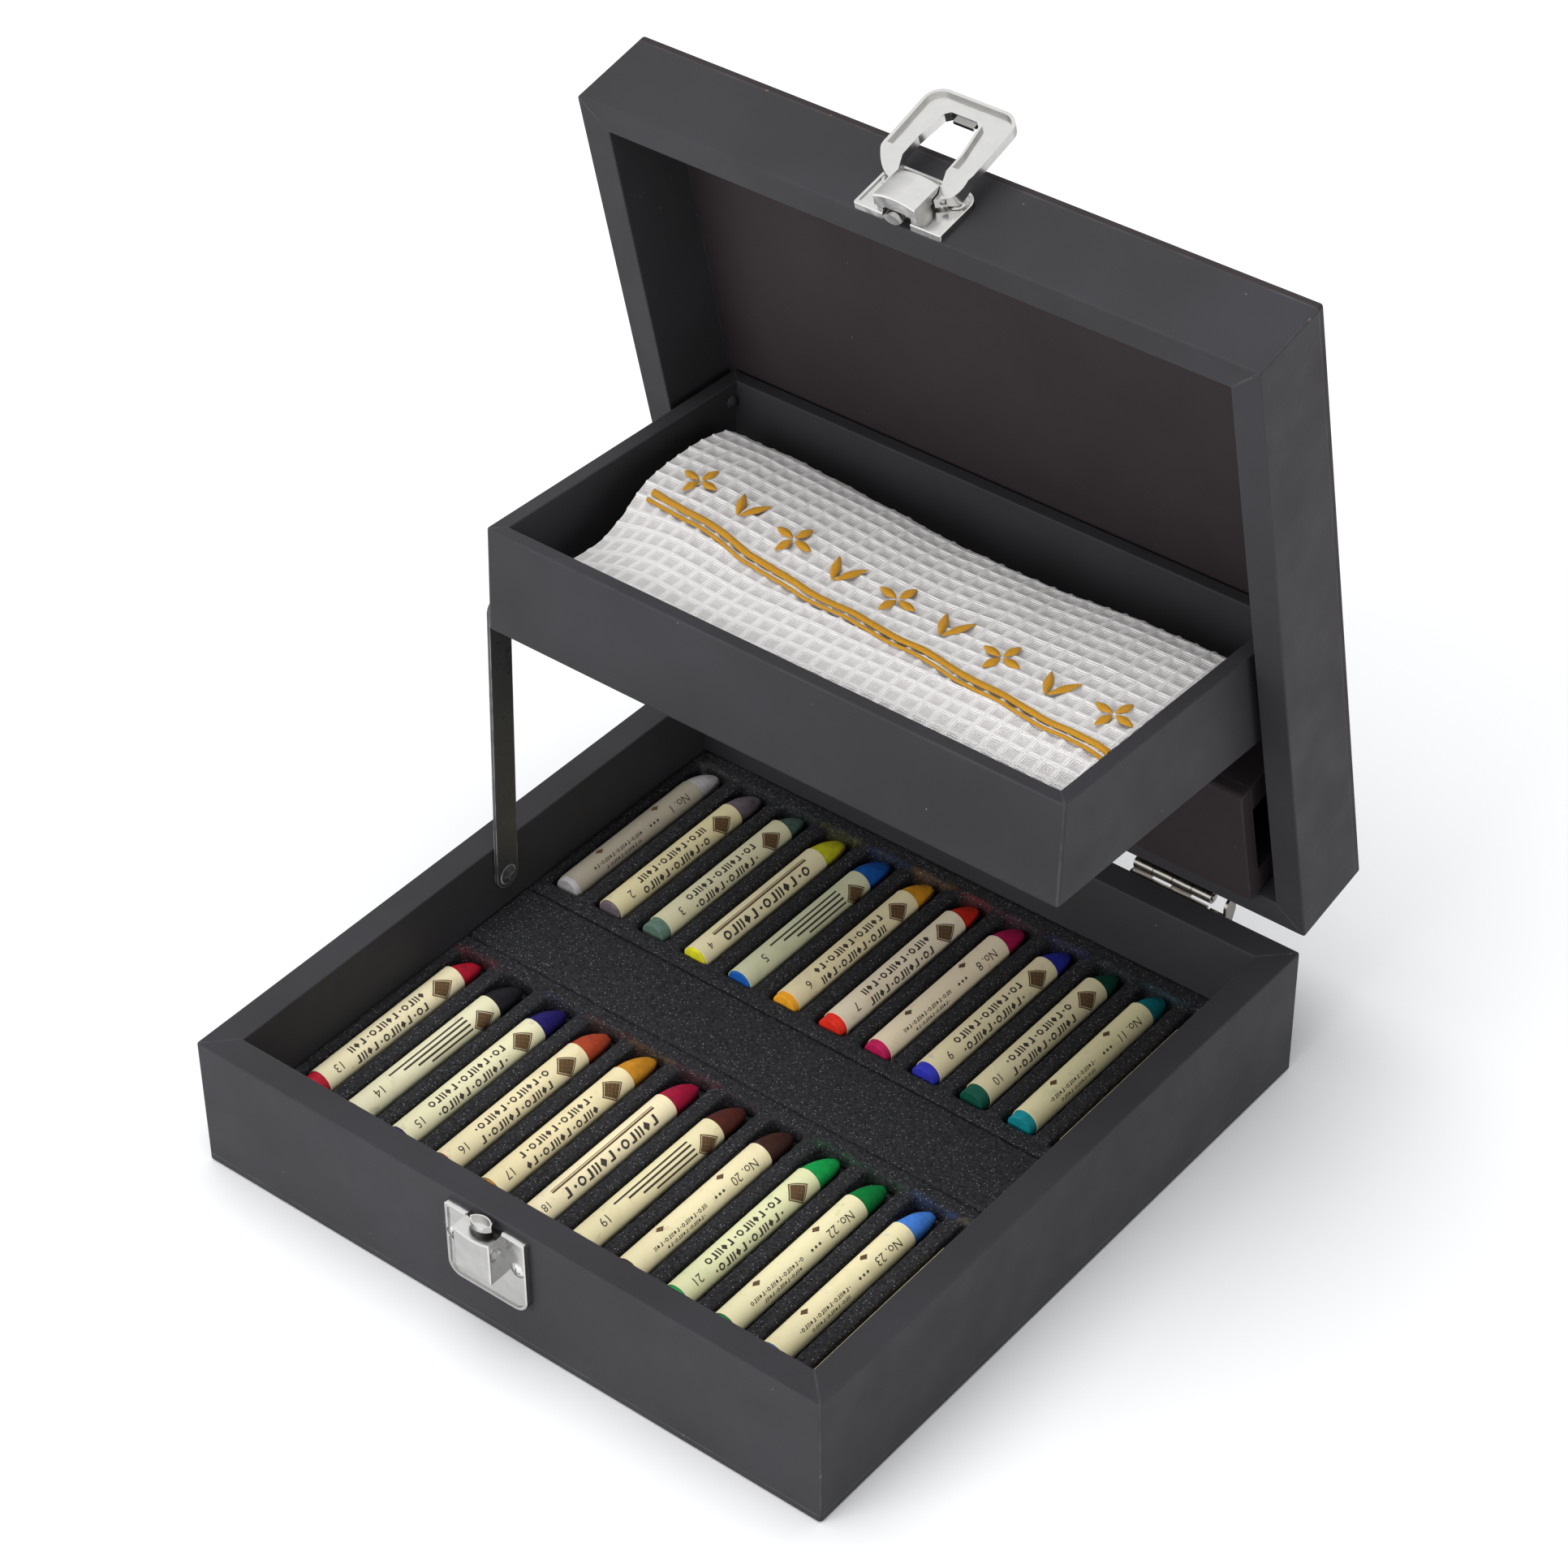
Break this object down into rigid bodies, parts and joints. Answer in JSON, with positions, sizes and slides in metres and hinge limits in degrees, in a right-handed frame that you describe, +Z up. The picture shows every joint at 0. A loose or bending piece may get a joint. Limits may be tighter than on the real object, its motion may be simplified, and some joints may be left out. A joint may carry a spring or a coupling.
{
  "type": "pastel case with lift-up tray",
  "caption": "Hinged wooden case for soft pastels: foam-lined base with rows of labelled sticks, latched lid, and a tray with a folded towel that lifts out as the lid opens.",
  "frame": {"origin": "centre of the underside, on the surface that the case stands on", "axes": "+X to the right along the front, +Y to the hinge side, +Z up"},
  "size_m": [0.24, 0.2805, 0.3103],
  "materials": {
    "black_paint": "matt charcoal-black lacquer on wood",
    "foam": "charcoal open-cell foam, dusted with pigment",
    "pastel": "chalky pigment stick, one colour each",
    "paper_label": "cream printed paper sleeve",
    "towel": "off-white waffle-weave cotton with gold embroidery",
    "nickel": "bright nickel plate",
    "steel": "plain bright steel",
    "dark_steel": "black satin steel strip",
    "painted_screw": "screw head painted over with the case's lacquer"
  },
  "bodies": {
    "base": {"base_front_wall": "black_paint", "base_rear_wall": "black_paint", "base_left_wall": "black_paint", "base_right_wall": "black_paint", "base_bottom_panel": "black_paint", "foam_base_layer": "foam", "foam_front_block": "foam", "foam_middle_band": "foam", "foam_rear_block": "foam", "rear_row_sticks": "pastel", "rear_row_labels": "paper_label", "front_row_sticks": "pastel", "front_row_labels": "paper_label", "hinge_base_leaves": "nickel", "hinge_pins": "nickel", "hinge_base_screws": "nickel", "lid_stops": "nickel", "catch_plate": "nickel", "catch_block": "nickel", "catch_socket": "nickel", "catch_screws": "nickel", "arm_spacer": "steel", "arm_base_screw": "steel"},
    "lid": {"lid_front_wall": "black_paint", "lid_rear_wall": "black_paint", "lid_left_wall": "black_paint", "lid_right_wall": "black_paint", "lid_top_panel": "black_paint", "lid_channel_web": "black_paint", "lid_channel_front_batten": "black_paint", "lid_channel_rear_batten": "black_paint", "hinge_lid_leaves": "nickel", "hinge_lid_screws": "nickel", "latch_plate": "nickel", "latch_block": "nickel", "latch_locating_pin": "nickel", "latch_screws": "nickel", "latch_axle": "nickel", "tray_pivot_screws": "painted_screw", "tray_pivot_washers": "steel"},
    "tray": {"tray_front_wall": "black_paint", "tray_rear_wall": "black_paint", "tray_left_wall": "black_paint", "tray_right_wall": "black_paint", "tray_bottom_panel": "black_paint", "tray_arm_stud": "steel", "towel": "towel"},
    "arm": {"lift_arm": "dark_steel", "arm_eye_rivet": "steel"},
    "bail": {"latch_bail": "nickel"}
  },
  "joints": [
    {"name": "lid_hinge", "type": "hinge", "parent": "base", "child": "lid", "pos_m": [0, 0.1238, 0.0498], "axis": [1, 0, 0], "range_deg": [0, 77.7]},
    {"name": "tray_pivot", "type": "hinge", "parent": "lid", "child": "tray", "pos_m": [0, 0.11721, 0.16248], "axis": [1, 0, 0], "range_deg": [-75.35, 0]},
    {"name": "arm_pivot", "type": "hinge", "parent": "base", "child": "arm", "pos_m": [-0.1088, 0.0081, 0.036], "axis": [1, 0, 0], "range_deg": [0, 89.94]},
    {"name": "bail_pivot", "type": "hinge", "parent": "lid", "child": "bail", "pos_m": [-0.0018, 0.07997, 0.29448], "axis": [1, 0, 0], "range_deg": [0, 130]}
  ],
  "couplings": [
    {"joint": "tray_pivot", "follows": "lid_hinge", "ratio": -0.96911},
    {"joint": "arm_pivot", "follows": "lid_hinge", "ratio": 1.1569}
  ]
}
